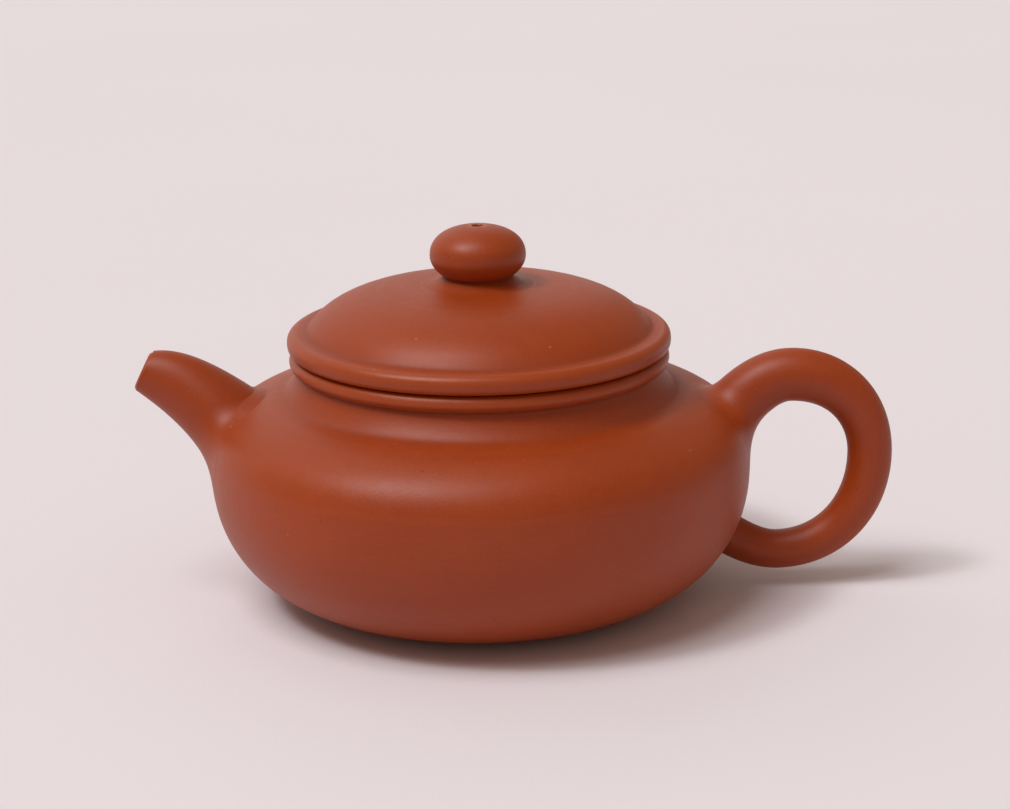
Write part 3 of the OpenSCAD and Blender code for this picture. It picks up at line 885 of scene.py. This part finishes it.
def landed(lines, blend_size, steps=12):
    """Lines (line, step, xyz) that run into the belly, led smoothly onto it instead."""
    heights = on_belly(lines.reshape(-1, 3))[2].reshape(lines.shape[:2])
    cuts = [cut_short(*each) for each in zip(lines, heights, blend_size)]
    shafts, crossing = (np.array(part) for part in zip(*cuts))
    around = unit(np.roll(crossing, -1, axis=0) - np.roll(crossing, 1, axis=0))
    away = unit(np.cross(around, on_belly(crossing)[1]))
    away *= np.sign(((crossing - crossing.mean(0)) * away).sum())
    foot, out, _ = on_belly(crossing + away * blend_size[:, None])
    start, leave = shafts[:, -1], unit(shafts[:, -1] - shafts[:, -3])
    arrive = crossing - foot
    arrive = unit(arrive - out * (arrive * out).sum(1, keepdims=True))
    pull = LEAVING * np.linalg.norm(crossing - start, axis=1, keepdims=True)
    push = ARRIVING * np.linalg.norm(crossing - foot, axis=1, keepdims=True)
    ends = [start, start + leave * pull, foot + arrive * push, foot + out * LIFTED]
    root = bezier([end[:, None] for end in ends], np.linspace(0, 1, steps + 1)[1:])
    tucked = []
    for further, depth in TUCKS:
        place, out_there, _ = on_belly(foot - arrive * further)
        tucked.append((place - out_there * depth)[:, None])
    return np.concatenate([shafts, root] + tucked, axis=1)


print(f"roots are tucked {TUCKS[-1][1]} mm under the skin")

# %% [markdown]
# ## Skinning a bundle of lines
# A bundle of lines becomes a mesh by joining each line to the next with four-sided faces. A spout
# closes on itself, because its lines come out of the hollow, turn over the lip and run back to
# the root. A handle has two ends, and each gets a fan of faces, hidden in the belly.

# %% Lines to skin
def skin_of(name, lines, ends, edge):
    """A closed skin over lines of points. ends is "loop" or "caps"."""
    count, length = lines.shape[:2]
    after = [(i, (i + 1) % count) for i in range(count)]
    faces = [(i * length + k, j * length + k, j * length + k + 1, i * length + k + 1)
             for i, j in after for k in range(length - 1)]
    points = lines.reshape(-1, 3)
    if ends == "loop":
        faces += [(i * length + length - 1, j * length + length - 1, j * length, i * length)
                  for i, j in after]
    else:
        middle = len(points)
        points = np.concatenate([points, lines[:, 0].mean(0)[None], lines[:, -1].mean(0)[None]])
        faces += [(i * length, j * length, middle) for i, j in after]
        faces += [(i * length + length - 1, j * length + length - 1, middle + 1) for i, j in after]
        edge = np.append(edge, [0.0, 0.0])
    mesh = bpy.data.meshes.new(name)
    mesh.from_pydata((points * MM).tolist(), [], faces)
    mesh.attributes.new("edge", "FLOAT", "POINT").data.foreach_set("value", np.ravel(edge))
    mesh.materials.append(outer_clay)
    return closed_and_outward(placed(name, mesh))


print("skins: loops for hollow pieces, caps for solid ones")

# %% [markdown]
# ## The spout's shape
# The spout is short and points well up, cut square at the tip and level with the lip. Seen from
# the side it is bounded by two curves, an upper one and an under one, and across it widens from a
# small round tip to a broad root. A tube along one middle line couldn't have two such different
# sides. The hollow inside follows the same curves, drawn in by the clay's thickness.

# %% The spout's lines
TIP_REACH, TIP_DROP, TIP_D, TIP_ANGLE = 13.2, 3.9, 8.1, radians(26)
TIP_WALL, ROOT_WALL, ROOT_W, SPREAD = 1.6, 2.6, 12.0, 1.4
SPOUT_BLEND, LESS_ABOVE = 6.5, 4.9
tip = np.array([belly_r + TIP_REACH, lip_top - TIP_DROP])
tip_up = np.array([-sin(TIP_ANGLE), cos(TIP_ANGLE)])
SPOUT_HIGH_ANGLE, SPOUT_LOW_ANGLE, SUNK = 52.0, -22.0, np.array([1, 1])
spout_high = np.array(belly_point(SPOUT_HIGH_ANGLE))
spout_low = np.array(belly_point(SPOUT_LOW_ANGLE))
high_tip, low_tip = tip + tip_up * TIP_D / 2, tip - tip_up * TIP_D / 2
upper_line = (high_tip, high_tip + [-5.8, 1.1], spout_high + [8.8, 6.4], spout_high - SUNK)
under_line = (low_tip, low_tip + [-6.4, -5.0], spout_low + [0.9, 14.5], spout_low - SUNK)
SPOUT_LINES = 96
round_turns = np.linspace(0, 2 * pi, SPOUT_LINES, endpoint=False)


def spout_lines(stops, inset):
    """Lines along the spout, drawn in by a share of its wall."""
    high, low = bezier(upper_line, stops), bezier(under_line, stops)
    thick = inset * (TIP_WALL + (ROOT_WALL - TIP_WALL) * stops)
    half = np.linalg.norm(high - low, axis=1) / 2
    up = (high - low) / 2 * (1 - thick / half)[:, None]
    across = TIP_D / 2 + (ROOT_W - TIP_D / 2) * stops ** SPREAD - thick
    middle = (high + low) / 2
    return np.array([np.c_[-(middle[:, 0] + up[:, 0] * cos(q)), across * sin(q),
                           middle[:, 1] + up[:, 1] * cos(q)] for q in round_turns])


spout_stops = np.linspace(0, 1, 160)
up_share = (1 + np.cos(round_turns)) / 2
spout_outer = landed(spout_lines(spout_stops, 0.0), SPOUT_BLEND - LESS_ABOVE * up_share ** 3)
print("spout: tip at", np.round(tip, 1), "mm,", SPOUT_LINES, "lines")

# %% [markdown]
# ## The spout's hollow and lip
# The hollow's lines stop just under the belly's skin, inside the pouring hole's edge. At the tip,
# inner and outer lines are joined over a rounded lip, made of two quarter circles with a short
# flat between them. The lip is the part that hands and cloths touch most, so it is marked as a
# worn edge: painted lighter, partly as wear and partly as a painted highlight, and smoother.

# %% Lip, hollow and skin
LIP_R, LIP_STEPS, LIP_GONE, LIP_WEAR_AND_HIGHLIGHT, HOLLOW_END = 0.76, 6, 3, 0.6, -0.6
hollow = spout_lines(spout_stops, 1.0)
above = on_belly(hollow.reshape(-1, 3))[2].reshape(hollow.shape[:2])
hollow_stop = min(int(np.argmax(row < HOLLOW_END)) for row in above if (row < HOLLOW_END).any())
hollow = hollow[:, :hollow_stop + 1:4]

tip_out = np.array([-cos(TIP_ANGLE), 0, sin(TIP_ANGLE)])
across_lip = unit(spout_outer[:, 0] - hollow[:, 0])
outer_corner = spout_outer[:, 0] - (across_lip + tip_out) * LIP_R
inner_corner = hollow[:, 0] + (across_lip - tip_out) * LIP_R
quarter = np.radians(np.linspace(90, 0, LIP_STEPS))
lip_outer = np.array([outer_corner + LIP_R * (cos(t) * across_lip + sin(t) * tip_out)
                      for t in quarter])
lip_inner = np.array([inner_corner + LIP_R * (sin(t) * tip_out - cos(t) * across_lip)
                      for t in quarter[::-1]])
spout_skin = np.concatenate([hollow[:, :0:-1], lip_inner.transpose(1, 0, 2),
                             lip_outer.transpose(1, 0, 2), spout_outer[:, LIP_GONE:]], axis=1)
lip_wear_and_highlight = np.zeros(spout_skin.shape[:2])
lip_first = hollow.shape[1] - 1
# Painted highlight, partly wear: the lip's edge value makes it lighter and smoother.
lip_wear_and_highlight[:, lip_first:lip_first + 2 * LIP_STEPS] = LIP_WEAR_AND_HIGHLIGHT
spout = skin_of("spout_shell", spout_skin, "loop", lip_wear_and_highlight)
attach(spout, "pot")
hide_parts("spout")

# %% [markdown]
# ## The handle's coil
# The handle is one rolled coil of clay, thickest over the top, bent into a loop that leaves the
# shoulder and comes back under the belly. Four curves in a row give its middle line, and a width
# at each joint gives its taper. It is drawn as two halves that both start at the farthest point,
# so that each half ends at a root.

# %% The handle's lines
CREST_OUT, CREST_DROP, FAR_OUT, FAR_RISE, LOW_BACK, LOW_Z = 8.2, 6.5, 24.1, 1.9, 2.6, 7.2
HANDLE_HIGH_ANGLE, HANDLE_LOW_ANGLE, HANDLE_DEPTH, BOW = 28.0, -34.0, 4.0, 0.58
HANDLE_WIDTHS, HANDLE_LINES = (11.6, 10.5, 8.8, 7.8, 8.4), 72
crest = np.array([belly_r + CREST_OUT, lip_top - CREST_DROP])
low_turn = np.array([belly_r + CREST_OUT - LOW_BACK, LOW_Z])
far = np.array([belly_r + FAR_OUT, (crest[1] + low_turn[1]) / 2 + FAR_RISE])
high_end = np.array(belly_point(HANDLE_HIGH_ANGLE, HANDLE_DEPTH))
low_end = np.array(belly_point(HANDLE_LOW_ANGLE, HANDLE_DEPTH))
handle_curves = (
    (high_end, high_end + [4, 5], crest - [5.5, 0], crest),
    (crest, crest + [BOW * (far[0] - crest[0]), 0], far + [0, BOW * (crest[1] - far[1])], far),
    (far, far - [0, BOW * (far[1] - low_turn[1])],
     low_turn + [BOW * (far[0] - low_turn[0]), 0], low_turn),
    (low_turn, low_turn - [4, 0], low_end + [4.6, -3.6], low_end))
coil_turns = np.linspace(0, 2 * pi, HANDLE_LINES, endpoint=False)


def handle_half(curves, facing):
    """Lines from the farthest point to one root. Line 0 runs along the outside of the loop."""
    middles, widths = [], []
    for k, (first, last) in curves:
        t = np.linspace(first, last, 60)
        middles.append(bezier(handle_curves[k], t)[1:])
        widths.append((HANDLE_WIDTHS[k] + (HANDLE_WIDTHS[k + 1] - HANDLE_WIDTHS[k])
                       * t * t * (3 - 2 * t))[1:])
    middle = np.concatenate([far[None]] + middles)
    width = np.concatenate([[HANDLE_WIDTHS[2]]] + widths)
    way = unit(np.gradient(middle, axis=0)) * facing
    return np.array([np.c_[middle[:, 0] - way[:, 1] * width / 2 * cos(q),
                           width / 2 * sin(q),
                           middle[:, 1] + way[:, 0] * width / 2 * cos(q)]
                     for q in coil_turns])


handle_upper = handle_half(((1, (1, 0)), (0, (1, 0))), -1)
handle_lower = handle_half(((2, (0, 1)), (3, (0, 1))), 1)
gap = np.abs(handle_upper[:, 0] - handle_lower[:, 0]).max()
print(f"handle: the two halves start {gap:.2f} mm apart")

# %% [markdown]
# ## The handle's roots
# The upper root is drawn out softly onto the shoulder, more so underneath, where the finger rubs.
# The lower one only has a thin line of slip. Both halves are landed on the belly and joined at
# the farthest point into one coil.

# %% Roots and skin
UPPER_BLEND, UNDER_BLEND, LOWER_BLEND = 3.4, 4.2, 1.2
facing_in = (1 - np.cos(coil_turns)) / 2
handle_upper = landed(handle_upper, UPPER_BLEND + UNDER_BLEND * facing_in)
handle_lower = landed(handle_lower, np.full(HANDLE_LINES, LOWER_BLEND))
handle_skin = np.concatenate([handle_upper[:, :0:-1], handle_lower], axis=1)
handle = skin_of("handle_coil", handle_skin, "caps", np.zeros(handle_skin.shape[:2]))
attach(handle, "pot")
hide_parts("handle")

# %% [markdown]
# ## The floor
# The pot stands on a plain pale sheet of paper, so wide that no edge or horizon shows. Paper
# isn't one flat tone: a very slow cloud and a fine fibre keep it from looking like an empty
# background. Its tint leans to violet, because the shadows of the room are warm and would turn it
# yellow.

# %% The floor
def paper():
    material, bench = new_finish("paper")
    place = bench.node("ShaderNodeTexCoord", (), (), "Object")
    tone = cloud(bench, place, 0.35, 2.0)
    fibre = cloud(bench, place, 0.0012, 3.0, 0.6)
    base = blend(bench, tone, colour(0.77, 0.725, 0.77), colour(0.81, 0.765, 0.81))
    bump = bench.node("ShaderNodeBump", (), {"Height": fibre, "Strength": 0.05, "Distance": MM})
    skin = bench.node("ShaderNodeBsdfPrincipled", (),
                      {"Base Color": base, "Roughness": 0.75, "Normal": bump,
                       "Specular IOR Level": 0.3})
    bench.end("ShaderNodeOutputMaterial", "Surface", skin)
    return material


FLOOR_HALF = 4.0
work = bmesh.new()
bmesh.ops.create_grid(work, x_segments=8, y_segments=8, size=FLOOR_HALF)
floor = placed("floor", mesh_of("floor", work))
floor.data.materials.append(paper())
print(f"floor {2 * FLOOR_HALF:.0f} m wide")

# %% [markdown]
# ## The light
# The light is what a potter's catalogue uses: a key lamp high on the left and a little in front
# that casts the one clear shadow, a large soft lamp overhead that draws the long highlight along
# the shoulder, and a pale wall behind that catches the grazing edges. Near lamps would light the
# sheet unevenly, so all of them are far off, and each is as wide in the sky as its spread.

# %% The lamps
def far_lamp(name, way, strength, spread, tint):
    lamp = placed(name, bpy.data.lights.new(name, "SUN"))
    lamp.data.energy, lamp.data.angle, lamp.data.color = strength, radians(spread), tint
    lamp.rotation_euler = Vector(way).to_track_quat("Z", "Y").to_euler()
    print(f"{name}: {spread} degrees wide, strength {strength}")


far_lamp("key", (-0.50, -0.27, 0.81), 0.66, 11, (1.0, 1.0, 1.0))
far_lamp("overhead", (-0.34, -0.27, 0.90), 1.52, 36, (0.98, 1.0, 1.02))
far_lamp("back_left", (-0.45, 0.85, 0.30), 0.60, 80, (0.98, 1.0, 1.03))

# %% [markdown]
# ## The room
# What the lamps don't reach is lit by a dim warm room, which is what makes the shadows brownish.
# The plain Standard view keeps the clay's red as strong as it is mixed.

# %% The room
world = bpy.data.worlds.new("room")
bpy.context.scene.world = world
world.use_nodes = True
room = world.node_tree.nodes["Background"]
room.inputs["Color"].default_value = (1.0, 0.80, 0.64, 1.0)
room.inputs["Strength"].default_value = 0.35
bpy.context.scene.view_settings.view_transform = "Standard"
print("room light", room.inputs["Strength"].default_value)
